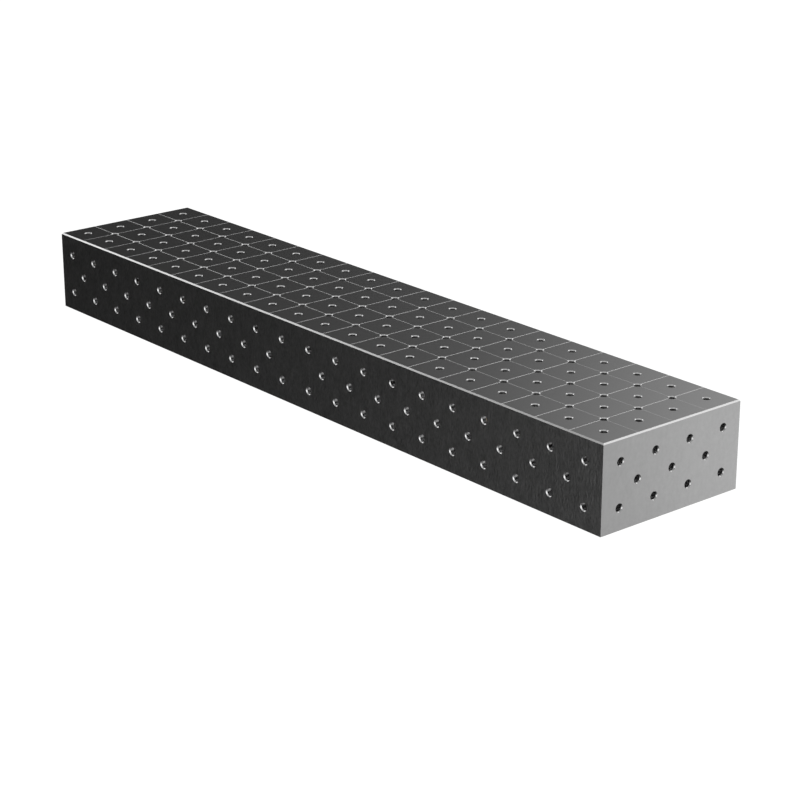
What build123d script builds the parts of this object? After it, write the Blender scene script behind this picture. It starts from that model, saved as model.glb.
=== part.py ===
from build123d import *
import os

# Welding table block: a welded steel box, open underneath, with a grid of clamping
# holes through its top, its long sides and its ends. Millimetres. X runs along the
# block, Y across it and Z up. The origin is the centre of the footprint.

# Overall size
LENGTH = 2000.0
WIDTH = 400.0
HEIGHT = 200.0

# Plates
TOP_THICKNESS = 12.0
SIDE_THICKNESS = 12.0
END_THICKNESS = 12.0
EDGE_CHAMFER = 3.0

# Clamping holes, the same on every face
PITCH = 100.0
HOLE_DIAMETER = 16.0
MOUTH_CHAMFER = 2.0
ROW_TO_RIM_LEAST = 25.0
PLAIN_FIELD_WIDTH = 80.0

# Scribed lines on the top face
SCRIBE_WIDTH = 1.2
SCRIBE_DEPTH = 0.6

# Cross ribs under the top plate
RIB_THICKNESS = 10.0
RIB_DEPTH = 80.0
COLUMNS_PER_BAY = 5
RIB_TO_END_LEAST = 60.0
SNIP_CLEARANCE = 14.0

# Fillet welds on the inside
SEAM_LEG = 6.0
CORNER_WELD_LEG = 6.0
CORNER_WELD_STAND_OFF = 10.0
STITCH_LEG = 5.0
TOP_STITCHES = 3
TOP_STITCH_LENGTH = 60.0
SIDE_STITCH_LENGTH = 40.0

# How far a cutter runs past the faces that it opens
OVERCUT = 1.0

# Sizes that follow from the ones above
UNDERSIDE = HEIGHT - TOP_THICKNESS
INNER_LENGTH = LENGTH - 2 * END_THICKNESS
INNER_WIDTH = WIDTH - 2 * SIDE_THICKNESS
RIB_SNIP = SEAM_LEG + SNIP_CLEARANCE
RIB_BOTTOM = UNDERSIDE - RIB_DEPTH


def centred(count, step):
    """Positions of count points, one step apart, centred on zero."""
    return [(i - (count - 1) / 2) * step for i in range(count)]


def rows_down(first):
    """Heights of hole rows, one pitch apart, from first below the top to the lower rim."""
    count = int((HEIGHT - first - ROW_TO_RIM_LEAST) // PITCH) + 1
    return [HEIGHT - first - PITCH * i for i in range(count)]


# The grid: square cells, centred on the top and measured down from it on the sides
CELLS_LONG = int(LENGTH // PITCH)
CELLS_WIDE = int(WIDTH // PITCH)
CELL_X = centred(CELLS_LONG, PITCH)
LINE_X = centred(CELLS_LONG - 1, PITCH)
CELL_Y = centred(CELLS_WIDE, PITCH)
LINE_Y = centred(CELLS_WIDE - 1, PITCH)
CELL_Z = rows_down(PITCH / 2)
LINE_Z = rows_down(PITCH)


def staggered(cell_columns, line_columns, cell_rows, line_rows):
    """A hole at each cell's centre and one at each crossing of the lines."""
    at_cells = [(column, row) for column in cell_columns for row in cell_rows]
    at_crossings = [(column, row) for column in line_columns for row in line_rows]
    return at_cells + at_crossings


def hole_cutter(thickness):
    """A through hole down -Z from a face at Z = 0, with a 45 degree mouth."""
    radius = HOLE_DIAMETER / 2
    outline = Polyline(
        (0, OVERCUT),
        (radius + MOUTH_CHAMFER + OVERCUT, OVERCUT),
        (radius, -MOUTH_CHAMFER),
        (radius, -thickness - OVERCUT),
        (0, -thickness - OVERCUT),
        close=True,
    )
    return revolve(Plane.XZ * make_face(outline), axis=Axis.Z)


def drill(plate, thickness, outward, mouths):
    """Drill the plate at each mouth, a point on the face that looks outward."""
    cutter = hole_cutter(thickness)
    return plate - [Plane(origin=mouth, z_dir=outward) * cutter for mouth in mouths]


def scribe_cutter(run):
    """A V-shaped cutter along X, its point down, for a face at Z = 0."""
    half = SCRIBE_WIDTH / 2
    reach = half * (1 + OVERCUT / SCRIBE_DEPTH)
    outline = Polyline((-reach, OVERCUT), (reach, OVERCUT), (0, -SCRIBE_DEPTH), close=True)
    return extrude(Plane.YZ * make_face(outline), amount=run / 2 + OVERCUT, both=True)


def top_plate():
    """The working face: chamfered all round, drilled and scribed with the grid."""
    plate = Pos(0, 0, HEIGHT - TOP_THICKNESS / 2) * Box(LENGTH, WIDTH, TOP_THICKNESS)
    rim = plate.faces().sort_by(Axis.Z)[-1].edges()
    plate = chamfer(rim, EDGE_CHAMFER)
    holes = staggered(CELL_X, LINE_X, CELL_Y, LINE_Y)
    plate = drill(plate, TOP_THICKNESS, (0, 0, 1), [(x, y, HEIGHT) for x, y in holes])
    plate = plate - [Pos(0, y, HEIGHT) * scribe_cutter(LENGTH) for y in LINE_Y]
    across = Rot(0, 0, 90) * scribe_cutter(WIDTH)
    return plate - [Pos(x, 0, HEIGHT) * across for x in LINE_X]


def side_plate(side, plain_field):
    """A long side under the top plate; side is -1 for the front and 1 for the rear.

    A plain field is a stretch of the middle rows, at mid-length, with no holes.
    """
    middle = side * (WIDTH - SIDE_THICKNESS) / 2
    plate = Pos(0, middle, UNDERSIDE / 2) * Box(LENGTH, SIDE_THICKNESS, UNDERSIDE)
    columns = [x for x in LINE_X if abs(x) > plain_field / 2] if plain_field else LINE_X
    holes = staggered(CELL_X, columns, CELL_Z, LINE_Z)
    mouths = [(x, side * WIDTH / 2, z) for x, z in holes]
    return drill(plate, SIDE_THICKNESS, (0, side, 0), mouths)


def end_plate(side):
    """An end between the long sides; side is -1 for the left and 1 for the right."""
    middle = side * (LENGTH - END_THICKNESS) / 2
    plate = Pos(middle, 0, UNDERSIDE / 2) * Box(END_THICKNESS, INNER_WIDTH, UNDERSIDE)
    holes = staggered(CELL_Y, LINE_Y, CELL_Z, LINE_Z)
    mouths = [(side * LENGTH / 2, y, z) for y, z in holes]
    return drill(plate, END_THICKNESS, (side, 0, 0), mouths)


def rib_places():
    """Ribs at even bays out from the middle, each half-way between two hole columns."""
    bay = COLUMNS_PER_BAY * PITCH / 2
    furthest = INNER_LENGTH / 2 - RIB_TO_END_LEAST
    out = [bay * (i + 0.5) for i in range(CELLS_LONG) if bay * (i + 0.5) <= furthest]
    return sorted([-x for x in out] + out)


def cross_rib(x):
    """A plate on edge across the inside, its top corners snipped clear of the long seams."""
    web = Pos(x, 0, UNDERSIDE - RIB_DEPTH / 2) * Box(RIB_THICKNESS, INNER_WIDTH, RIB_DEPTH)
    top = web.edges().filter_by(Axis.X).sort_by(Axis.Z)[-2:]
    return chamfer(top, RIB_SNIP)


def bead(centre, first, second, length, leg):
    """A fillet weld: a triangle with its legs along first and second, drawn out evenly
    to both sides of its centre."""
    along = Vector(*first).cross(Vector(*second))
    section = Plane(origin=centre, x_dir=first, z_dir=along)
    triangle = make_face(Polyline((0, 0), (leg, 0), (0, leg), close=True))
    return extrude(section * triangle, amount=length / 2, both=True)


def top_seam_weld():
    """The bead that runs round the inside, under the top plate, mitred at the corners."""
    layer = Pos(0, 0, UNDERSIDE - SEAM_LEG / 2) * Box(INNER_LENGTH, INNER_WIDTH, SEAM_LEG)
    foot = Pos(0, 0, UNDERSIDE - SEAM_LEG) * Rectangle(INNER_LENGTH, INNER_WIDTH)
    return layer - extrude(foot, amount=SEAM_LEG, taper=45)


def corner_weld(end, side, seam):
    """The upright bead between an end and a long side, up to the seam above it."""
    length = UNDERSIDE - CORNER_WELD_STAND_OFF
    centre = (
        end * INNER_LENGTH / 2,
        side * INNER_WIDTH / 2,
        CORNER_WELD_STAND_OFF + length / 2,
    )
    return bead(centre, (-end, 0, 0), (0, -side, 0), length, CORNER_WELD_LEG) - seam


def rib_welds(x):
    """Short beads on both faces of a rib, against the top plate and both sides."""
    seat = INNER_WIDTH - 2 * RIB_SNIP
    height = (RIB_BOTTOM + UNDERSIDE - RIB_SNIP) / 2
    beads = []
    for face in (-1, 1):
        out = (face, 0, 0)
        root = x + face * RIB_THICKNESS / 2
        for y in centred(TOP_STITCHES, seat / TOP_STITCHES):
            beads.append(
                bead((root, y, UNDERSIDE), out, (0, 0, -1), TOP_STITCH_LENGTH, STITCH_LEG)
            )
        for side in (-1, 1):
            foot = (root, side * INNER_WIDTH / 2, height)
            beads.append(bead(foot, out, (0, -side, 0), SIDE_STITCH_LENGTH, STITCH_LEG))
    return Compound(children=[solid for b in beads for solid in b.solids()])


def block():
    """Every piece of the block, by name."""
    seam = top_seam_weld()
    pieces = {
        "top_plate": top_plate(),
        "front_side_plate": side_plate(-1, PLAIN_FIELD_WIDTH),
        "rear_side_plate": side_plate(1, 0),
        "left_end_plate": end_plate(-1),
        "right_end_plate": end_plate(1),
        "top_seam_weld": seam,
    }
    for end, end_name in ((-1, "left"), (1, "right")):
        for side, side_name in ((-1, "front"), (1, "rear")):
            name = f"corner_weld_{side_name}_{end_name}"
            pieces[name] = corner_weld(end, side, seam)
    for number, x in enumerate(rib_places(), start=1):
        pieces[f"cross_rib_{number}"] = cross_rib(x)
        pieces[f"cross_rib_{number}_welds"] = rib_welds(x)
    return pieces


os.makedirs("parts", exist_ok=True)
for node, shape in block().items():
    export_step(shape, f"parts/{node}.step")
    print(node, round(shape.volume), "cubic mm")
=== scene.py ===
import math

import bmesh
import bpy
import numpy as np
from bpy.props import FloatProperty, FloatVectorProperty, PointerProperty
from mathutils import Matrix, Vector


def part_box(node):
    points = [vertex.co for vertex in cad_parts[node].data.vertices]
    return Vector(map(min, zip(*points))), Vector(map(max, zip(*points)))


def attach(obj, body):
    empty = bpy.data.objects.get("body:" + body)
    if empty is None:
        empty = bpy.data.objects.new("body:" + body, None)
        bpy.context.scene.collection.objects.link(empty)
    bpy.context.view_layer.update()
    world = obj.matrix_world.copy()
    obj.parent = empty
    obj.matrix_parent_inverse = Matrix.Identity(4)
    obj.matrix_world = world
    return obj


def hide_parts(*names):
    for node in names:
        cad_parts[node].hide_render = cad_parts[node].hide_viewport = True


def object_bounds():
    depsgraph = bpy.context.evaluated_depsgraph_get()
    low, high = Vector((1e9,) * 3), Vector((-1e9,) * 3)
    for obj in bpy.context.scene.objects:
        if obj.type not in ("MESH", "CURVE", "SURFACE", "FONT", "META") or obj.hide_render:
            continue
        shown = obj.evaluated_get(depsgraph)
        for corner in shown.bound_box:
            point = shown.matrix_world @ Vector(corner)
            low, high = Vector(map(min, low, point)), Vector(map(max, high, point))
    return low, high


bl_info = {
    "name": "Welding table block",
    "version": (1, 0, 0),
    "blender": (4, 5, 0),
    "location": "3D View > Sidebar > Welding block",
    "description": "Finishes the plates, ribs and welds of a welding table block and lights it",
    "category": "Object",
}

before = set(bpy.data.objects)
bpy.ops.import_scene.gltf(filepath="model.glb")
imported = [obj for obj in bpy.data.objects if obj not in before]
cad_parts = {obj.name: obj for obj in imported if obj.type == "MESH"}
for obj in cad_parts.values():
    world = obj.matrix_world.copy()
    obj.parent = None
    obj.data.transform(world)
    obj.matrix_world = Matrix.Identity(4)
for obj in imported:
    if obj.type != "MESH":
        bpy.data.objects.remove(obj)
CAD_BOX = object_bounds()

# Faces of the block, in metres
OUTER_X, OUTER_Y, TOP_Z = CAD_BOX[1]
INNER_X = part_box("right_end_plate")[0].x
INNER_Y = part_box("rear_side_plate")[0].y
UNDERSIDE_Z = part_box("top_plate")[0].z

# The outside is this deep, enough to hold the scribed lines
SKIN = 0.0007

# How far a face's normal is from the plate's own, as a cosine
MACHINED_TILT = math.sqrt(0.5)
TILT_SLACK = 0.12
SQUARE_TILT = 0.3
FLAT_TILT = 0.9

# Kinds of socket of the shared shader groups
VALUE = "NodeSocketFloat"
COLOUR = "NodeSocketColor"
VECTOR = "NodeSocketVector"

WHITE = (1.0, 1.0, 1.0, 1.0)


def metal_colour(title, about, default):
    """A colour that a user can change."""
    return FloatVectorProperty(
        name=title, description=about, subtype="COLOR", size=3, min=0.0, max=1.0, default=default
    )


def length_value(title, about, default):
    """A length that a user can change, in metres."""
    return FloatProperty(
        name=title, description=about, default=default, min=0.0001, unit="LENGTH", precision=4
    )


def relief_value(title, about, default):
    """A depth that a user can change, in metres; it may be nothing."""
    return FloatProperty(
        name=title, description=about, default=default, min=0.0, unit="LENGTH", precision=5
    )


def share_value(title, about, default):
    """A share, roughness or strength that a user can change."""
    return FloatProperty(
        name=title, description=about, default=default, min=0.0, max=1.0, subtype="FACTOR"
    )


def stretch(title, default):
    """How much taller than wide a streak is."""
    about = "Height of a streak against its width"
    return FloatProperty(name=title, description=about, default=default, min=1.0)


def radiance(place, default):
    """The radiance of a soft light, 1 being white."""
    return FloatProperty(
        name=f"{place} light", description="Radiance of the light", default=default, min=0.0
    )


class WELDBLOCK_PG_plates(bpy.types.PropertyGroup):
    """Finish of the blackened plates and of the edges machined through it."""

    blackened: metal_colour("Blackened steel", "Colour of the plates' faces", (0.4, 0.4, 0.4))
    bare: metal_colour("Bare steel", "Chamfers, hole mouths and scribed lines", (0.68, 0.68, 0.68))
    # Bored steel is darker than the faces: a painted shade inside the clamping holes
    bore_steel_painted_shade: metal_colour("Bored steel", "Walls of the clamping holes", (0.31, 0.31, 0.31))
    scaled: metal_colour("Scaled steel", "Inner faces, left as rolled", (0.2, 0.205, 0.215))
    thin_scale: metal_colour("Thin scale", "Inner faces where the scale is thin", (0.27, 0.27, 0.27))
    heat_reach: length_value("Heat reach", "How far the heat of a bead tints the steel", 0.026)
    face_roughness: share_value("Face roughness", "Gloss of the sides and ends", 0.36)
    top_roughness: share_value("Top roughness", "Gloss of the ground working face", 0.3)
    bare_roughness: share_value("Bare roughness", "Gloss of the machined edges", 0.28)
    scaled_roughness: share_value("Scaled roughness", "Gloss of the inner faces", 0.5)
    relief: relief_value("Relief", "Depth of the marks and of the grain of the ends", 0.00002)
    side_relief: relief_value("Side relief", "Depth of the grain of the long sides", 0.0008)
    side_grain: share_value("Side grain", "How much the grain of the long sides shows", 0.7)
    side_streak: length_value("Side streak", "Width of a streak on the long sides", 0.005)
    side_stretch: stretch("Side stretch", 2.0)
    end_grain: share_value("End grain", "How much the grain of the ends shows", 0.15)
    end_streak: length_value("End streak", "Width of a streak on the ends", 0.008)
    end_stretch: stretch("End stretch", 1.4)


class WELDBLOCK_PG_ribs(bpy.types.PropertyGroup):
    """Finish of the cross ribs."""

    scaled: metal_colour("Rolled steel", "Colour of the ribs' faces", (0.22, 0.22, 0.23))
    thin_scale: metal_colour("Thin scale", "The ribs' faces where scale is thin", (0.33, 0.32, 0.31))
    cut: metal_colour("Cut steel", "Colour of the ribs' cut edges", (0.36, 0.35, 0.34))
    roughness: share_value("Roughness", "Gloss of the ribs' faces", 0.5)
    cut_roughness: share_value("Cut roughness", "Gloss of the ribs' cut edges", 0.4)
    cut_spacing: length_value("Cut spacing", "Step from one cut mark to the next", 0.0016)
    cut_depth: length_value("Cut depth", "Depth of the cut marks", 0.00015)
    heat_reach: length_value("Heat reach", "How far the heat of a bead tints the steel", 0.022)


class WELDBLOCK_PG_welds(bpy.types.PropertyGroup):
    """Shape and finish of the beads."""

    deposit: metal_colour("Weld metal", "Colour of the beads", (0.42, 0.41, 0.4))
    roughness: share_value("Roughness", "Gloss of the beads", 0.34)
    pitch: length_value("Ripple pitch", "Length of one ripple along a bead", 0.0032)
    ripple: length_value("Ripple height", "How far a ripple stands above its valley", 0.0005)
    crown: length_value("Crown", "How far a bead bulges past a flat face", 0.0006)
    root: length_value("Root", "How far a bead reaches into the plates", 0.0003)


class WELDBLOCK_PG_stage(bpy.types.PropertyGroup):
    """Camera, floor and studio light."""

    camera: FloatVectorProperty(
        name="Camera", description="Place of the camera", subtype="TRANSLATION", unit="LENGTH",
        default=(3.879, -3.138, 1.782),
    )
    target: FloatVectorProperty(
        name="Target", description="Point that the camera looks at", subtype="TRANSLATION",
        unit="LENGTH", default=(0.1106, 0.023, -0.0078),
    )
    lens: FloatProperty(
        name="Lens", description="Focal length", default=100.34, min=1.0, unit="CAMERA"
    )
    floor_half: length_value("Floor half", "Half the side of the floor", 30.0)
    floor_glow: share_value("Floor glow", "White of the floor that no shadow dims", 0.985)
    floor_matt: share_value("Floor matt", "Share of the light that the floor scatters", 0.2)
    inside_power: FloatProperty(
        name="Inside power", description="Power of the lamp under the open bottom", default=2.0,
        min=0.0, unit="POWER",
    )
    end_power: FloatProperty(
        name="End power", description="Power of the lamp beside the right end", default=0.25,
        min=0.0, unit="POWER",
    )
    overhead: radiance("Overhead", 0.53)
    left_low: radiance("Left low", 1.49)
    left_high: radiance("Left high", 0.24)
    rear_high: radiance("Rear high", 1.41)
    rear_left: radiance("Rear left", 0.58)
    rear_low: radiance("Rear low", 0.82)
    front_low: radiance("Front low", 0.5)
    front_below: radiance("Front below", 0.16)
    front_level: radiance("Front level", 1.38)
    front_high: radiance("Front high", 0.45)
    front_left: radiance("Front left", 0.6)


class WELDBLOCK_PG_block(bpy.types.PropertyGroup):
    """All settings of the block."""

    plates: PointerProperty(type=WELDBLOCK_PG_plates)
    ribs: PointerProperty(type=WELDBLOCK_PG_ribs)
    welds: PointerProperty(type=WELDBLOCK_PG_welds)
    stage: PointerProperty(type=WELDBLOCK_PG_stage)


# Helpers for node trees

def add_node(tree, kind, inputs=None, **settings):
    """A new node with its settings; each input is a value or another node's output."""
    node = tree.nodes.new(kind)
    for key, value in settings.items():
        setattr(node, key, value)
    for key, value in (inputs or {}).items():
        if isinstance(value, bpy.types.NodeSocket):
            tree.links.new(value, node.inputs[key])
        else:
            node.inputs[key].default_value = value
    return node


def calc(tree, operation, *values):
    """One step of arithmetic on values."""
    inputs = dict(enumerate(values))
    return add_node(tree, "ShaderNodeMath", inputs, operation=operation).outputs[0]


def calc_vector(tree, operation, *values, result="Vector"):
    """One step of arithmetic on vectors."""
    inputs = dict(enumerate(values))
    node = add_node(tree, "ShaderNodeVectorMath", inputs, operation=operation)
    return node.outputs[result]


def scale_vector(tree, vector, factor):
    """A vector made longer or shorter by a factor."""
    inputs = {0: vector, "Scale": factor}
    return add_node(tree, "ShaderNodeVectorMath", inputs, operation="SCALE").outputs[0]


def split(tree, vector):
    """The three parts of a vector."""
    return add_node(tree, "ShaderNodeSeparateXYZ", {0: vector}).outputs[:]


def blend_values(tree, share, first, second):
    """From the first value to the second, as share goes from 0 to 1."""
    inputs = {0: share, 2: first, 3: second}
    return add_node(tree, "ShaderNodeMix", inputs, data_type="FLOAT").outputs[0]


def blend_colours(tree, share, first, second, blend_type="MIX"):
    """From the first colour to the second, as share goes from 0 to 1."""
    inputs = {0: share, 6: first, 7: second}
    node = add_node(tree, "ShaderNodeMix", inputs, data_type="RGBA", blend_type=blend_type)
    return node.outputs[2]


def ramp(tree, value, low, high):
    """A smooth step from 0 to 1 while value goes from low to high."""
    inputs = {"Value": value, "From Min": low, "From Max": high}
    node = add_node(tree, "ShaderNodeMapRange", inputs, interpolation_type="SMOOTHSTEP")
    return node.outputs["Result"]


def noise(tree, place, detail=2.0, roughness=0.5):
    """Noise from 0 to 1 with features about one unit apart."""
    inputs = {"Vector": place, "Scale": 1.0, "Detail": detail, "Roughness": roughness}
    return add_node(tree, "ShaderNodeTexNoise", inputs).outputs["Fac"]


def opaque(colour):
    """A colour with its alpha."""
    return (*colour, 1.0)


def colour_bands(tree, value, bands):
    """Colours that follow one another while value goes from 0 to 1."""
    node = add_node(tree, "ShaderNodeValToRGB", {"Fac": value})
    elements = node.color_ramp.elements
    for place, colour in bands[1:-1]:
        elements.new(place).color = opaque(colour)
    elements[0].color = opaque(bands[0][1])
    elements[-1].color = opaque(bands[-1][1])
    return node.outputs["Color"]


def shader_group(name, inputs, outputs):
    """An empty group with its sockets, and the sockets as seen from inside."""
    tree = bpy.data.node_groups.new(name, "ShaderNodeTree")
    for title, kind, default in inputs:
        tree.interface.new_socket(title, in_out="INPUT", socket_type=kind).default_value = default
    for title, kind in outputs:
        tree.interface.new_socket(title, in_out="OUTPUT", socket_type=kind)
    start = tree.nodes.new("NodeGroupInput")
    end = tree.nodes.new("NodeGroupOutput")
    return tree, start.outputs, end.inputs


def place_group(tree, name, inputs=None):
    """One of the shared groups, placed in a tree with its own values."""
    node = tree.nodes.new("ShaderNodeGroup")
    node.node_tree = bpy.data.node_groups[name]
    for title, value in (inputs or {}).items():
        if isinstance(value, bpy.types.NodeSocket):
            tree.links.new(value, node.inputs[title])
        else:
            node.inputs[title].default_value = value
    return node.outputs


# Shared groups

# Grain of rolled steel: how ragged its streaks are, and how many of them a blotch is wide
STREAK_DETAIL = 3.0
STREAK_RAGGEDNESS = 0.6
STREAKS_PER_BLOTCH = 3.0


def make_plate_zones():
    """Tells a plate's edges, bores and inner faces from its ground top, ends and long sides."""
    tree, start, end = shader_group(
        "Plate zones",
        [("Outward axis", VECTOR, (0.0, 0.0, 1.0))],
        [(zone, VALUE) for zone in ("Machined", "Bore", "Inside", "Ground", "End", "Side")],
    )
    normal = add_node(tree, "ShaderNodeNewGeometry").outputs["True Normal"]
    place = add_node(tree, "ShaderNodeTexCoord").outputs["Object"]
    x, y, z = split(tree, place)
    along = calc_vector(tree, "DOT_PRODUCT", normal, start["Outward axis"], result="Value")
    tilt = calc(tree, "ABSOLUTE", along)
    at_end = calc(tree, "GREATER_THAN", calc(tree, "ABSOLUTE", x), OUTER_X - SKIN)
    at_side = calc(tree, "GREATER_THAN", calc(tree, "ABSOLUTE", y), OUTER_Y - SKIN)
    at_top = calc(tree, "GREATER_THAN", z, TOP_Z - SKIN)
    at_foot = calc(tree, "LESS_THAN", z, SKIN)
    sides = calc(tree, "MAXIMUM", at_end, at_side)
    skin = calc(tree, "MAXIMUM", sides, calc(tree, "MAXIMUM", at_top, at_foot))
    deep = calc(tree, "SUBTRACT", 1.0, skin)
    square = calc(tree, "LESS_THAN", tilt, SQUARE_TILT)
    flat = calc(tree, "GREATER_THAN", tilt, FLAT_TILT)
    facing_x, facing_y, facing_z = split(tree, normal)
    upward = calc(tree, "GREATER_THAN", facing_z, FLAT_TILT)
    endward = calc(tree, "GREATER_THAN", calc(tree, "ABSOLUTE", facing_x), FLAT_TILT)
    sideward = calc(tree, "GREATER_THAN", calc(tree, "ABSOLUTE", facing_y), FLAT_TILT)
    tree.links.new(calc(tree, "COMPARE", tilt, MACHINED_TILT, TILT_SLACK), end["Machined"])
    tree.links.new(calc(tree, "MULTIPLY", square, deep), end["Bore"])
    tree.links.new(calc(tree, "MULTIPLY", flat, deep), end["Inside"])
    tree.links.new(calc(tree, "MULTIPLY", upward, at_top), end["Ground"])
    tree.links.new(calc(tree, "MULTIPLY", endward, at_end), end["End"])
    tree.links.new(calc(tree, "MULTIPLY", sideward, at_side), end["Side"])


def make_rolled_grain():
    """Upright streaks with blotches between them; grain runs from 0 to 1 about 0.5."""
    tree, start, end = shader_group(
        "Rolled grain",
        [("Streak width", VALUE, 0.004), ("Stretch", VALUE, 3.0), ("Blotches", VALUE, 0.35)],
        [("Grain", VALUE)],
    )
    place = add_node(tree, "ShaderNodeTexCoord").outputs["Object"]
    fineness = calc(tree, "DIVIDE", 1.0, start["Streak width"])
    squeeze = calc(tree, "DIVIDE", 1.0, start["Stretch"])
    shape = add_node(tree, "ShaderNodeCombineXYZ", {"X": 1.0, "Y": 1.0, "Z": squeeze}).outputs[0]
    streak_place = scale_vector(tree, calc_vector(tree, "MULTIPLY", place, shape), fineness)
    streaks = noise(tree, streak_place, STREAK_DETAIL, STREAK_RAGGEDNESS)
    blotches = noise(tree, scale_vector(tree, streak_place, 1 / STREAKS_PER_BLOTCH))
    tree.links.new(blend_values(tree, start["Blotches"], streaks, blotches), end["Grain"])


def make_tool_marks():
    """Fine marks left by a cutter or wheel; they vary along one direction only."""
    tree, start, end = shader_group(
        "Tool marks",
        [("Across", VECTOR, (0.0, 1.0, 0.0)), ("Spacing", VALUE, 0.001)],
        [("Marks", VALUE)],
    )
    place = add_node(tree, "ShaderNodeTexCoord").outputs["Object"]
    step = calc_vector(tree, "DOT_PRODUCT", place, start["Across"], result="Value")
    inputs = {"W": calc(tree, "DIVIDE", step, start["Spacing"]), "Scale": 1.0, "Detail": 2.0}
    marks = add_node(tree, "ShaderNodeTexNoise", inputs, noise_dimensions="1D").outputs["Fac"]
    tree.links.new(marks, end["Marks"])


# Patches of mill scale: how far they are drawn out along the block, how ragged they are, and
# the levels of the noise between which the scale thins
PATCH_STRETCH = 3.0
PATCH_DETAIL = 6.0
PATCH_ROUGHNESS = 0.65
PATCH_EDGE = (0.42, 0.56)


def make_scale_patches():
    """Patches of mill scale, from 0 where it has gone to 1 where it is whole."""
    tree, start, end = shader_group(
        "Scale patches", [("Size", VALUE, 0.05)], [("Scale", VALUE)]
    )
    place = add_node(tree, "ShaderNodeTexCoord").outputs["Object"]
    grid = scale_vector(tree, place, calc(tree, "DIVIDE", 1.0, start["Size"]))
    drawn = calc_vector(tree, "MULTIPLY", grid, (1 / PATCH_STRETCH, 1.0, 1.0))
    patches = noise(tree, drawn, PATCH_DETAIL, PATCH_ROUGHNESS)
    tree.links.new(ramp(tree, patches, *PATCH_EDGE), end["Scale"])


# Colours that heat leaves on steel, from the toe of a bead outwards, and how far and how
# finely their edges wander
HEAT_BANDS = (
    (0.0, (0.38, 0.36, 0.36)),
    (0.22, (0.5, 0.53, 0.68)),
    (0.38, (0.74, 0.62, 0.72)),
    (0.55, (0.95, 0.8, 0.58)),
    (1.0, (1.0, 1.0, 1.0)),
)
HEAT_WANDER = 0.35
HEAT_DETAIL = 3.0


def make_heat_tint():
    """Tint beside a bead, to multiply the steel's colour with."""
    tree, start, end = shader_group(
        "Heat tint",
        [("Distance", VALUE, 1.0), ("Reach", VALUE, 0.02)],
        [("Tint", COLOUR)],
    )
    place = add_node(tree, "ShaderNodeTexCoord").outputs["Object"]
    fine = scale_vector(tree, place, calc(tree, "DIVIDE", 1.0, start["Reach"]))
    share = calc(tree, "DIVIDE", start["Distance"], start["Reach"])
    waves = noise(tree, fine, HEAT_DETAIL)
    wander = calc(tree, "MULTIPLY_ADD", waves, HEAT_WANDER, -HEAT_WANDER / 2)
    bands = colour_bands(tree, calc(tree, "ADD", share, wander), HEAT_BANDS)
    tree.links.new(bands, end["Tint"])


def make_seam_distance():
    """How far a point of an inner face is from the nearest corner of the inside."""
    tree, _, end = shader_group("Seam distance", [], [("Distance", VALUE)])
    x, y, z = split(tree, add_node(tree, "ShaderNodeTexCoord").outputs["Object"])
    to_end = calc(tree, "SUBTRACT", INNER_X, calc(tree, "ABSOLUTE", x))
    to_side = calc(tree, "SUBTRACT", INNER_Y, calc(tree, "ABSOLUTE", y))
    to_top = calc(tree, "SUBTRACT", UNDERSIDE_Z, z)
    nearer = calc(tree, "MINIMUM", to_end, to_side)
    further = calc(tree, "MAXIMUM", to_end, to_side)
    middle = calc(tree, "MAXIMUM", nearer, calc(tree, "MINIMUM", further, to_top))
    tree.links.new(middle, end["Distance"])


def make_soft_light():
    """A round soft light far off, as seen in one direction of the studio."""
    tree, start, end = shader_group(
        "Soft light",
        [("Direction", VECTOR, (0, 0, 1)), ("Towards", VECTOR, (0, 0, 1)),
         ("Edge", VALUE, 0.8), ("Core", VALUE, 0.95), ("Radiance", VALUE, 1.0)],
        [("Light", VALUE)],
    )
    nearness = calc_vector(
        tree, "DOT_PRODUCT", start["Direction"], start["Towards"], result="Value"
    )
    shape = ramp(tree, nearness, start["Edge"], start["Core"])
    tree.links.new(calc(tree, "MULTIPLY", shape, start["Radiance"]), end["Light"])


# Materials

# Direction across the block
ACROSS = (0.0, 1.0, 0.0)

# Steps of the marks of the wheel on the top and of the drill in the bores, and sizes of the
# patches of scale inside
GROUND_SPACING = 0.0012
RING_SPACING = 0.0006
PLATE_PATCH = 0.03
RIB_PATCH = 0.025

# Grain of a rib's rolled face, and its relief against the depth of the cut marks
RIB_STREAK = 0.002
RIB_STRETCH = 6.0
FACE_RELIEF = 0.3

# Weld metal: how bright a valley is against a crest, and the colour and dullness of a toe
VALLEY_SHARE = 0.55
TOE_COLOUR = (0.13, 0.11, 0.1, 1.0)
TOE_DULLNESS = 0.2


def new_material(name):
    """A material with an empty tree, its Principled shader and that shader's inputs."""
    material = bpy.data.materials.new(name)
    material.use_nodes = True
    tree = material.node_tree
    tree.nodes.clear()
    shader = tree.nodes.new("ShaderNodeBsdfPrincipled")
    shader.inputs["Metallic"].default_value = 1.0
    output = tree.nodes.new("ShaderNodeOutputMaterial")
    tree.links.new(shader.outputs[0], output.inputs["Surface"])
    return material, tree, shader.inputs


def raise_surface(tree, shader, height, depth):
    """Feeds a height of 0 to 1, and its full depth in metres, to the shader's normal."""
    bump = add_node(tree, "ShaderNodeBump", {"Height": height, "Strength": 1.0, "Distance": depth})
    tree.links.new(bump.outputs["Normal"], shader["Normal"])


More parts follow.
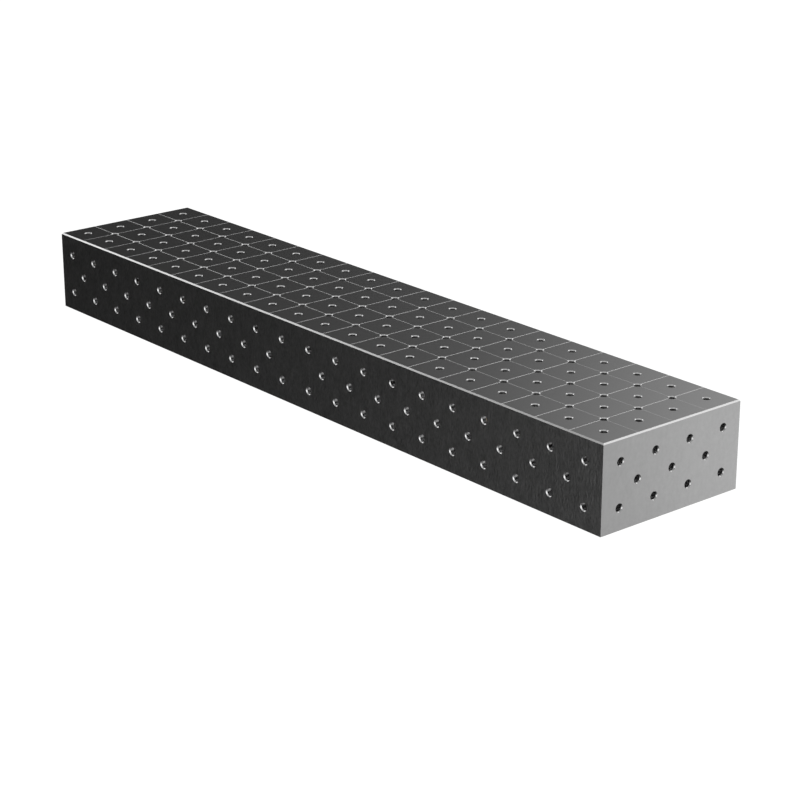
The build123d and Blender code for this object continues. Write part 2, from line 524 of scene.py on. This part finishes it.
def plate_steel(name, outward):
    """Steel of a plate whose outer face looks along one axis."""
    look = bpy.context.scene.weldblock.plates
    material, tree, shader = new_material(name)
    zones = place_group(tree, "Plate zones", {"Outward axis": outward})
    share = blend_values(tree, zones["End"], look.side_grain, look.end_grain)
    sizes = {
        "Streak width": blend_values(tree, zones["End"], look.side_streak, look.end_streak),
        "Stretch": blend_values(tree, zones["End"], look.side_stretch, look.end_stretch),
    }
    grain = place_group(tree, "Rolled grain", sizes)["Grain"]
    ground = place_group(tree, "Tool marks", {"Across": ACROSS, "Spacing": GROUND_SPACING})
    rings = place_group(tree, "Tool marks", {"Across": outward, "Spacing": RING_SPACING})
    patches = place_group(tree, "Scale patches", {"Size": PLATE_PATCH})["Scale"]

    swing = calc(tree, "MULTIPLY", calc(tree, "MULTIPLY_ADD", grain, 2.0, -1.0), share)
    tone = blend_values(tree, zones["Ground"], calc(tree, "ADD", swing, 1.0), 1.0)
    black = scale_vector(tree, look.blackened[:], tone)
    rolled = blend_colours(tree, patches, opaque(look.thin_scale), opaque(look.scaled))
    gap = place_group(tree, "Seam distance")["Distance"]
    tint = place_group(tree, "Heat tint", {"Distance": gap, "Reach": look.heat_reach})["Tint"]
    inner = blend_colours(tree, 1.0, rolled, tint, "MULTIPLY")
    colour = blend_colours(tree, zones["Inside"], black, inner)
    # Bore walls take the darker bored steel, a painted shade in the holes
    colour = blend_colours(tree, zones["Bore"], colour, opaque(look.bore_steel_painted_shade))
    colour = blend_colours(tree, zones["Machined"], colour, opaque(look.bare))
    tree.links.new(colour, shader["Base Color"])

    rough = blend_values(tree, zones["Ground"], look.face_roughness, look.top_roughness)
    rough = blend_values(tree, zones["Inside"], rough, look.scaled_roughness)
    rough = blend_values(tree, zones["Machined"], rough, look.bare_roughness)
    tree.links.new(rough, shader["Roughness"])

    height = blend_values(tree, zones["Ground"], grain, ground["Marks"])
    height = blend_values(tree, zones["Bore"], height, rings["Marks"])
    height = blend_values(tree, zones["Machined"], height, 0.5)
    depth = blend_values(tree, zones["Side"], look.relief, look.side_relief)
    raise_surface(tree, shader, height, depth)
    return material


def stitch_distance(tree, place):
    """How far a point of a rib's face is from the nearest short bead."""
    boxes = [(low, high) for low, high, _ in bead_places("cross_rib_1_welds")]
    tops = sorted((low[1], high[1]) for low, high in boxes if high[2] > UNDERSIDE_Z - SKIN)
    sides = [(low[2], high[2]) for low, high in boxes if high[2] < UNDERSIDE_Z - SKIN]
    half_top = (tops[0][1] - tops[0][0]) / 2
    step = 2 * (tops[-1][1] - half_top) / (len(tops) / 2 - 1)
    height = sum(sides[0]) / 2
    half_side = (sides[0][1] - sides[0][0]) / 2

    _, y, z = split(tree, place)
    from_middle = calc(tree, "ABSOLUTE", calc(tree, "WRAP", y, step / 2, -step / 2))
    past_top = calc(tree, "MAXIMUM", calc(tree, "SUBTRACT", from_middle, half_top), 0.0)
    down = calc(tree, "SUBTRACT", UNDERSIDE_Z, z)
    from_height = calc(tree, "ABSOLUTE", calc(tree, "SUBTRACT", z, height))
    past_side = calc(tree, "MAXIMUM", calc(tree, "SUBTRACT", from_height, half_side), 0.0)
    inward = calc(tree, "SUBTRACT", INNER_Y, calc(tree, "ABSOLUTE", y))
    to_top = calc_vector(
        tree, "LENGTH", add_node(tree, "ShaderNodeCombineXYZ", {0: past_top, 1: down}).outputs[0],
        result="Value",
    )
    to_side = calc_vector(
        tree, "LENGTH", add_node(tree, "ShaderNodeCombineXYZ", {0: past_side, 1: inward}).outputs[0],
        result="Value",
    )
    return calc(tree, "MINIMUM", to_top, to_side)


def rib_steel():
    """Steel of the ribs: faces as rolled, tinted beside the beads, and edges as cut."""
    look = bpy.context.scene.weldblock.ribs
    material, tree, shader = new_material("rolled_rib_steel")
    place = add_node(tree, "ShaderNodeTexCoord").outputs["Object"]
    normal = add_node(tree, "ShaderNodeNewGeometry").outputs["True Normal"]
    on_edge = calc(tree, "LESS_THAN", calc(tree, "ABSOLUTE", split(tree, normal)[0]), SQUARE_TILT)
    patches = place_group(tree, "Scale patches", {"Size": RIB_PATCH})["Scale"]
    sizes = {"Streak width": RIB_STREAK, "Stretch": RIB_STRETCH}
    grain = place_group(tree, "Rolled grain", sizes)["Grain"]
    cuts = place_group(tree, "Tool marks", {"Across": ACROSS, "Spacing": look.cut_spacing})
    distance = stitch_distance(tree, place)
    tint = place_group(tree, "Heat tint", {"Distance": distance, "Reach": look.heat_reach})["Tint"]

    faces = blend_colours(tree, patches, opaque(look.thin_scale), opaque(look.scaled))
    faces = blend_colours(tree, 1.0, faces, tint, "MULTIPLY")
    colour = blend_colours(tree, on_edge, faces, opaque(look.cut))
    tree.links.new(colour, shader["Base Color"])
    rough = blend_values(tree, on_edge, look.roughness, look.cut_roughness)
    tree.links.new(rough, shader["Roughness"])
    height = blend_values(tree, on_edge, calc(tree, "MULTIPLY", grain, FACE_RELIEF), cuts["Marks"])
    raise_surface(tree, shader, height, look.cut_depth)
    return material


def weld_metal():
    """Metal of the beads, darker in the valleys between ripples and along the toes."""
    look = bpy.context.scene.weldblock.welds
    material, tree, shader = new_material("rippled_weld_metal")
    crest = add_node(tree, "ShaderNodeAttribute", attribute_name="crest").outputs["Fac"]
    toe = add_node(tree, "ShaderNodeAttribute", attribute_name="toe").outputs["Fac"]
    valley = [part * VALLEY_SHARE for part in look.deposit]
    colour = blend_colours(tree, crest, opaque(valley), opaque(look.deposit))
    colour = blend_colours(tree, toe, colour, TOE_COLOUR)
    tree.links.new(colour, shader["Base Color"])
    rough = calc(tree, "MULTIPLY_ADD", toe, TOE_DULLNESS, look.roughness)
    tree.links.new(rough, shader["Roughness"])
    return material


def dress(names, material):
    """Gives every material slot of these pieces the material."""
    for name in names:
        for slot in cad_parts[name].material_slots:
            slot.material = material


# Beads

# Points over a bead's face, and outlines along one ripple
FACE_POINTS = 8
RINGS_PER_RIPPLE = 4

# How far a ripple's middle lags behind its toes, in ripples, and how lopsided and full it is
RIPPLE_LAG = 0.5
RIPPLE_LEAN = 0.7
RIPPLE_FULLNESS = 0.8

# How steeply the toe's colour fades away from either edge of the face
TOE_FADE = 6.0

# Length of a bead's rounded end, and the size of its last outline
END_ROUND = 0.004
LEAST_END = 0.15

# Points this near are one point, and points this near a plane lie on it
SAME_POINT = 1e-6
SAME_PLANE = 1e-5


def bead_places(node):
    """For each solid of a weld node: its box, and on each axis the side where its root is."""
    shape = bmesh.new()
    shape.from_mesh(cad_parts[node].data)
    bmesh.ops.remove_doubles(shape, verts=shape.verts, dist=SAME_POINT)
    left = set(shape.verts)
    places = []
    while left:
        solid, edge = set(), {left.pop()}
        while edge:
            solid |= edge
            edge = {e.other_vert(v) for v in edge for e in v.link_edges} - solid
        left -= solid
        points = np.array([v.co for v in solid])
        low, high = points.min(0), points.max(0)
        legs = np.argsort(high - low)[:2]
        root = np.zeros(3)
        for axis in legs:
            on_low = (np.abs(points[:, axis] - low[axis]) < SAME_PLANE).sum()
            on_high = (np.abs(points[:, axis] - high[axis]) < SAME_PLANE).sum()
            root[axis] = 1 if on_high > on_low else -1
        places.append((low, high, root))
    shape.free()
    return sorted(places, key=lambda place: tuple(np.round(place[0], 4)))


def bead_face(stations, legs, look):
    """Outline of the bead at each station: its points as (first leg, second leg), with the
    crest and toe of each, which colour them."""
    across = np.linspace(0, 1, FACE_POINTS)
    middle = 4 * across * (1 - across)
    turns = stations[:, None] / look.pitch - RIPPLE_LAG * middle[None, :]
    rise = turns - np.floor(turns)
    crest = np.sin(np.pi * rise ** RIPPLE_LEAN) ** RIPPLE_FULLNESS
    out = look.crown * middle + look.ripple * np.sqrt(middle) * (crest - 0.5)
    first = legs[0] * (1 - across) + out / math.sqrt(2)
    second = legs[1] * across + out / math.sqrt(2)
    toe = np.clip(1 - TOE_FADE * np.minimum(across, 1 - across), 0, 1)
    return first, second, crest, np.broadcast_to(toe, crest.shape)


def outline_rings(stations, length, legs, look, rounded):
    """Closed outline of the bead at each station, root included, with its ends rounded or not."""
    first, second, crest, toe = bead_face(stations, legs, look)
    if rounded:
        near_end = np.minimum(stations, length - stations)
        inset = np.clip(1 - near_end / END_ROUND, 0, 1)
        size = np.maximum(np.sqrt(1 - inset ** 2), LEAST_END)[:, None]
        first, second = first * size, second * size
    sunk = np.full((len(stations), 1), -look.root)
    first = np.hstack([sunk, first[:, :1], first, sunk])
    second = np.hstack([sunk, sunk, second, second[:, -1:]])
    ones = np.ones_like(sunk)
    crest = np.hstack([0 * sunk, crest[:, :1], crest, crest[:, -1:]])
    toe = np.hstack([ones, ones, toe, ones])
    return first, second, crest, toe


def sweep_faces(rings, points, start, closed):
    """Faces of a skin over rings of points, capped at both ends unless it is closed."""
    ring = start + points * np.arange(rings)[:, None]
    here = ring + np.arange(points)[None, :]
    following = np.roll(here, -1, axis=0)
    quads = np.stack(
        [here, following, np.roll(following, -1, axis=1), np.roll(here, -1, axis=1)], axis=-1
    )
    quads = quads if closed else quads[:-1]
    faces = quads.reshape(-1, 4).tolist()
    if not closed:
        faces += [here[0].tolist(), here[-1][::-1].tolist()]
    return faces


def bead_piece(name, runs, replaced):
    """A piece made of beads; each run is its points, crests and toes, and whether it closes."""
    points, faces, crests, toes = [], [], [], []
    for ring_points, crest, toe, closed in runs:
        count, outline = ring_points.shape[:2]
        faces += sweep_faces(count, outline, sum(len(p) for p in points), closed)
        points.append(ring_points.reshape(-1, 3))
        crests.append(crest.ravel())
        toes.append(toe.ravel())
    mesh = bpy.data.meshes.new(name)
    mesh.from_pydata(np.concatenate(points).tolist(), [], faces)
    for title, values in (("crest", crests), ("toe", toes)):
        attribute = mesh.attributes.new(title, "FLOAT", "POINT")
        attribute.data.foreach_set("value", np.concatenate(values).astype(np.float32))
    mesh.shade_smooth()
    piece = bpy.data.objects.new(name, mesh)
    bpy.context.scene.collection.objects.link(piece)
    shape = bmesh.new()
    shape.from_mesh(mesh)
    bmesh.ops.recalc_face_normals(shape, faces=shape.faces)
    shape.to_mesh(mesh)
    shape.free()
    mesh.materials.append(bpy.data.materials["rippled_weld_metal"])
    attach(piece, "root")
    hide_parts(replaced)


def straight_bead(low, high, root, look):
    """A bead that fills the box of its solid, with its root in one corner of the box."""
    run_axis = int(np.flatnonzero(root == 0)[0])
    leg_axes = [axis for axis in range(3) if axis != run_axis]
    length = high[run_axis] - low[run_axis]
    legs = [high[axis] - low[axis] for axis in leg_axes]
    count = max(2, round(length / look.pitch * RINGS_PER_RIPPLE))
    stations = np.linspace(0, length, count + 1)
    first, second, crest, toe = outline_rings(stations, length, legs, look, True)
    points = np.zeros((*first.shape, 3))
    points[..., run_axis] = low[run_axis] + stations[:, None]
    for axis, reach in zip(leg_axes, (first, second)):
        corner = high[axis] if root[axis] > 0 else low[axis]
        points[..., axis] = corner - root[axis] * reach
    return points, crest, toe, False


def seam_bead(look):
    """The bead round the inside, under the top plate: four runs that meet at mitres."""
    low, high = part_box("top_seam_weld")
    leg = high.z - low.z
    signs = ((-1, -1), (1, -1), (1, 1), (-1, 1))
    corners = [Vector((sx * INNER_X, sy * INNER_Y)) for sx, sy in signs]
    rings, crests, toes, gone = [], [], [], 0.0
    for here, there in zip(corners, corners[1:] + corners[:1]):
        length = (there - here).length
        ripples = round(length / look.pitch)
        count = ripples * RINGS_PER_RIPPLE
        share = np.arange(count) / count
        stations = gone + share * ripples * look.pitch
        inward, down, crest, toe = outline_rings(stations, length, (leg, leg), look, False)
        line = np.outer(1 - share, here) + np.outer(share, there)
        size = np.array([INNER_X, INNER_Y])
        flat = line[:, None, :] * (1 - inward[..., None] / size)
        rings.append(np.concatenate([flat, UNDERSIDE_Z - down[..., None]], axis=-1))
        crests.append(crest)
        toes.append(toe)
        gone += ripples * look.pitch
    return np.concatenate(rings), np.concatenate(crests), np.concatenate(toes), True


# Operators

class WELDBLOCK_OT_finish_plates(bpy.types.Operator):
    """Blacken the plates and lay their machined edges and scribed lines bare"""

    bl_idname = "weldblock.finish_plates"
    bl_label = "Finish plates"

    def execute(self, context):
        dress(["top_plate"], plate_steel("blackened_top_steel", (0, 0, 1)))
        sides = ["front_side_plate", "rear_side_plate"]
        dress(sides, plate_steel("blackened_side_steel", (0, 1, 0)))
        ends = ["left_end_plate", "right_end_plate"]
        dress(ends, plate_steel("blackened_end_steel", (1, 0, 0)))
        return {"FINISHED"}


class WELDBLOCK_OT_finish_ribs(bpy.types.Operator):
    """Give the cross ribs their rolled steel"""

    bl_idname = "weldblock.finish_ribs"
    bl_label = "Finish ribs"

    def execute(self, context):
        ribs = [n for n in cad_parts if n.startswith("cross_rib") and not n.endswith("welds")]
        dress(ribs, rib_steel())
        return {"FINISHED"}


class WELDBLOCK_OT_lay_beads(bpy.types.Operator):
    """Lay rippled beads where the block is welded"""

    bl_idname = "weldblock.lay_beads"
    bl_label = "Lay beads"

    def execute(self, context):
        look = context.scene.weldblock.welds
        weld_metal()
        bead_piece("top_seam_bead", [seam_bead(look)], "top_seam_weld")
        for node in sorted(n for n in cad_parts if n.startswith("corner_weld")):
            runs = [straight_bead(*place, look) for place in bead_places(node)]
            bead_piece(node.replace("weld", "bead"), runs, node)
        for node in sorted(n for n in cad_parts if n.endswith("_welds")):
            runs = [straight_bead(*place, look) for place in bead_places(node)]
            bead_piece(node.replace("welds", "beads"), runs, node)
        return {"FINISHED"}


# Width of the camera's sensor, in millimetres
SENSOR = 36.0


def set_camera(stage):
    """The view of the photograph, from the front right and a little above."""
    camera = bpy.data.objects.new("camera", bpy.data.cameras.new("camera"))
    bpy.context.scene.collection.objects.link(camera)
    camera.location = stage.camera
    look = Vector(stage.target) - Vector(stage.camera)
    camera.rotation_euler = look.to_track_quat("-Z", "Y").to_euler()
    camera.data.lens = stage.lens
    camera.data.sensor_width = SENSOR
    bpy.context.scene.camera = camera


def floor_material(stage):
    """White round the block, with its shadow; dark under the block as a painted shadow, and clear
    from below.
    """
    material = bpy.data.materials.new("studio_floor")
    material.use_nodes = True
    tree = material.node_tree
    tree.nodes.clear()
    x, y, _ = split(tree, add_node(tree, "ShaderNodeTexCoord").outputs["Object"])
    # The glow stops inside the block's footprint: a painted shadow under the block
    past_ends = calc(tree, "GREATER_THAN", calc(tree, "ABSOLUTE", x), OUTER_X)
    past_sides = calc(tree, "GREATER_THAN", calc(tree, "ABSOLUTE", y), OUTER_Y)
    outside_painted_shadow = calc(tree, "MAXIMUM", past_ends, past_sides)
    strength = calc(tree, "MULTIPLY", outside_painted_shadow, stage.floor_glow)
    glow = add_node(tree, "ShaderNodeEmission", {"Color": WHITE, "Strength": strength})
    matt = add_node(tree, "ShaderNodeBsdfDiffuse", {"Color": opaque([stage.floor_matt] * 3)})
    both = add_node(tree, "ShaderNodeAddShader", {0: glow.outputs[0], 1: matt.outputs[0]})
    clear = add_node(tree, "ShaderNodeBsdfTransparent")
    underneath = add_node(tree, "ShaderNodeNewGeometry").outputs["Backfacing"]
    inputs = {0: underneath, 1: both.outputs[0], 2: clear.outputs[0]}
    surface = add_node(tree, "ShaderNodeMixShader", inputs)
    output = tree.nodes.new("ShaderNodeOutputMaterial")
    tree.links.new(surface.outputs[0], output.inputs["Surface"])
    return material


def lay_floor(stage):
    """A pale floor that the camera sees and that the block's metal doesn't mirror."""
    half = stage.floor_half
    mesh = bpy.data.meshes.new("floor")
    corners = [(-half, -half, 0), (half, -half, 0), (half, half, 0), (-half, half, 0)]
    mesh.from_pydata(corners, [], [(0, 1, 2, 3)])
    mesh.materials.append(floor_material(stage))
    floor = bpy.data.objects.new("floor", mesh)
    bpy.context.scene.collection.objects.link(floor)
    floor.visible_diffuse = False
    floor.visible_glossy = False
    floor.visible_transmission = False
    floor.visible_shadow = False


# White wall behind the right end: its direction, and the angles of its edge and its core
WHITE_SIDE = ((0.28, 0.89, -0.36), 45.0, 22.0)

# Soft lights round the block, in the same way
SOFT_LIGHTS = {
    "overhead": ((0.10, -0.10, 0.99), 60.0, 30.0),
    "left_low": ((-0.90, -0.18, 0.40), 20.0, 6.0),
    "left_high": ((-0.78, -0.28, 0.56), 25.0, 8.0),
    "rear_high": ((0.20, 0.75, 0.63), 22.0, 6.0),
    "rear_left": ((-0.35, 0.60, 0.72), 30.0, 8.0),
    "rear_low": ((-0.45, 0.81, 0.38), 18.0, 5.0),
    "front_low": ((0.60, -0.75, -0.28), 30.0, 12.0),
    "front_below": ((0.28, -0.54, -0.79), 22.0, 8.0),
    "front_level": ((0.55, -0.82, 0.14), 30.0, 12.0),
    "front_high": ((0.28, -0.76, 0.58), 36.0, 14.0),
    "front_left": ((-0.34, -0.87, -0.36), 18.0, 4.0),
}

# The lamp under the block: how far below it hangs, and the angle of its beam
INSIDE_DROP = 0.05
INSIDE_BEAM = 40.0

# The lamp beside the right end: its place and its size
END_LAMP = (1.62, 0.95, -0.28)
END_LAMP_SIZE = 0.5


def soft_light(tree, direction, place, strength):
    """Light of this strength from one place in the studio."""
    towards, edge, core = place
    inputs = {
        "Direction": direction,
        "Towards": Vector(towards).normalized(),
        "Edge": math.cos(math.radians(edge)),
        "Core": math.cos(math.radians(core)),
        "Radiance": strength,
    }
    return place_group(tree, "Soft light", inputs)["Light"]


def light_studio(stage):
    """A dark studio with soft lights and a white side; the camera sees white all round."""
    world = bpy.data.worlds.new("studio")
    bpy.context.scene.world = world
    world.use_nodes = True
    tree = world.node_tree
    tree.nodes.clear()
    direction = add_node(tree, "ShaderNodeTexCoord").outputs["Generated"]
    white_side = soft_light(tree, direction, WHITE_SIDE, 1.0)
    light = white_side
    for name, place in SOFT_LIGHTS.items():
        strength = getattr(stage, name)
        light = calc(tree, "ADD", light, soft_light(tree, direction, place, strength))
    studio = add_node(tree, "ShaderNodeBackground", {"Color": WHITE, "Strength": light})
    white = add_node(tree, "ShaderNodeBackground", {"Color": WHITE, "Strength": 1.0})
    ray = add_node(tree, "ShaderNodeLightPath").outputs
    mirrored = calc(tree, "MAXIMUM", ray["Is Glossy Ray"], ray["Is Transmission Ray"])
    mirrored = calc(tree, "MULTIPLY", mirrored, white_side)
    seen = calc(tree, "MAXIMUM", ray["Is Camera Ray"], mirrored)
    surface = add_node(
        tree, "ShaderNodeMixShader", {0: seen, 1: studio.outputs[0], 2: white.outputs[0]}
    )
    output = tree.nodes.new("ShaderNodeOutputWorld")
    tree.links.new(surface.outputs[0], output.inputs["Surface"])


def hang_lamp(name, size, power):
    """A soft lamp that the camera doesn't see."""
    lamp = bpy.data.lights.new(name, "AREA")
    lamp.shape = "RECTANGLE"
    lamp.size, lamp.size_y = size
    lamp.energy = power
    holder = bpy.data.objects.new(name, lamp)
    bpy.context.scene.collection.objects.link(holder)
    holder.visible_camera = False
    return holder


def hang_lamps(stage):
    """A lamp that shines up into the open bottom and one that brightens the right end."""
    inside = hang_lamp("inside_lamp", (2 * INNER_X, 2 * INNER_Y), stage.inside_power)
    inside.location.z = -INSIDE_DROP
    inside.rotation_euler.x = math.pi
    inside.data.spread = math.radians(INSIDE_BEAM)
    beside = hang_lamp("end_lamp", (END_LAMP_SIZE, END_LAMP_SIZE), stage.end_power)
    beside.location = END_LAMP
    aim = Vector((OUTER_X, 0.0, TOP_Z / 2)) - Vector(END_LAMP)
    beside.rotation_euler = aim.to_track_quat("-Z", "Y").to_euler()


class WELDBLOCK_OT_set_stage(bpy.types.Operator):
    """Set the camera, the floor and the studio light"""

    bl_idname = "weldblock.set_stage"
    bl_label = "Set stage"

    def execute(self, context):
        stage = context.scene.weldblock.stage
        context.scene.view_settings.view_transform = "Standard"
        set_camera(stage)
        lay_floor(stage)
        light_studio(stage)
        hang_lamps(stage)
        return {"FINISHED"}


class WELDBLOCK_PT_sidebar(bpy.types.Panel):
    """Lists the steps that dress the block"""

    bl_idname = "WELDBLOCK_PT_sidebar"
    bl_label = "Welding block"
    bl_space_type = "VIEW_3D"
    bl_region_type = "UI"
    bl_category = "Welding block"

    def draw(self, context):
        for step in OPERATORS:
            self.layout.operator(step.bl_idname)
        for part in ("plates", "ribs", "welds", "stage"):
            settings = getattr(context.scene.weldblock, part)
            column = self.layout.column(heading=part.capitalize())
            for name in settings.__annotations__:
                column.prop(settings, name)


GROUPS = (
    make_plate_zones,
    make_rolled_grain,
    make_tool_marks,
    make_scale_patches,
    make_heat_tint,
    make_seam_distance,
    make_soft_light,
)
SETTINGS = (
    WELDBLOCK_PG_plates,
    WELDBLOCK_PG_ribs,
    WELDBLOCK_PG_welds,
    WELDBLOCK_PG_stage,
    WELDBLOCK_PG_block,
)
OPERATORS = (
    WELDBLOCK_OT_finish_plates,
    WELDBLOCK_OT_finish_ribs,
    WELDBLOCK_OT_lay_beads,
    WELDBLOCK_OT_set_stage,
)


def register():
    for kind in (*SETTINGS, *OPERATORS, WELDBLOCK_PT_sidebar):
        bpy.utils.register_class(kind)
    bpy.types.Scene.weldblock = PointerProperty(type=WELDBLOCK_PG_block)


def unregister():
    del bpy.types.Scene.weldblock
    for kind in reversed((*SETTINGS, *OPERATORS, WELDBLOCK_PT_sidebar)):
        bpy.utils.unregister_class(kind)


def main():
    register()
    for make_group in GROUPS:
        make_group()
    bpy.ops.weldblock.finish_plates()
    bpy.ops.weldblock.finish_ribs()
    bpy.ops.weldblock.lay_beads()
    bpy.ops.weldblock.set_stage()


if __name__ == "__main__":
    main()
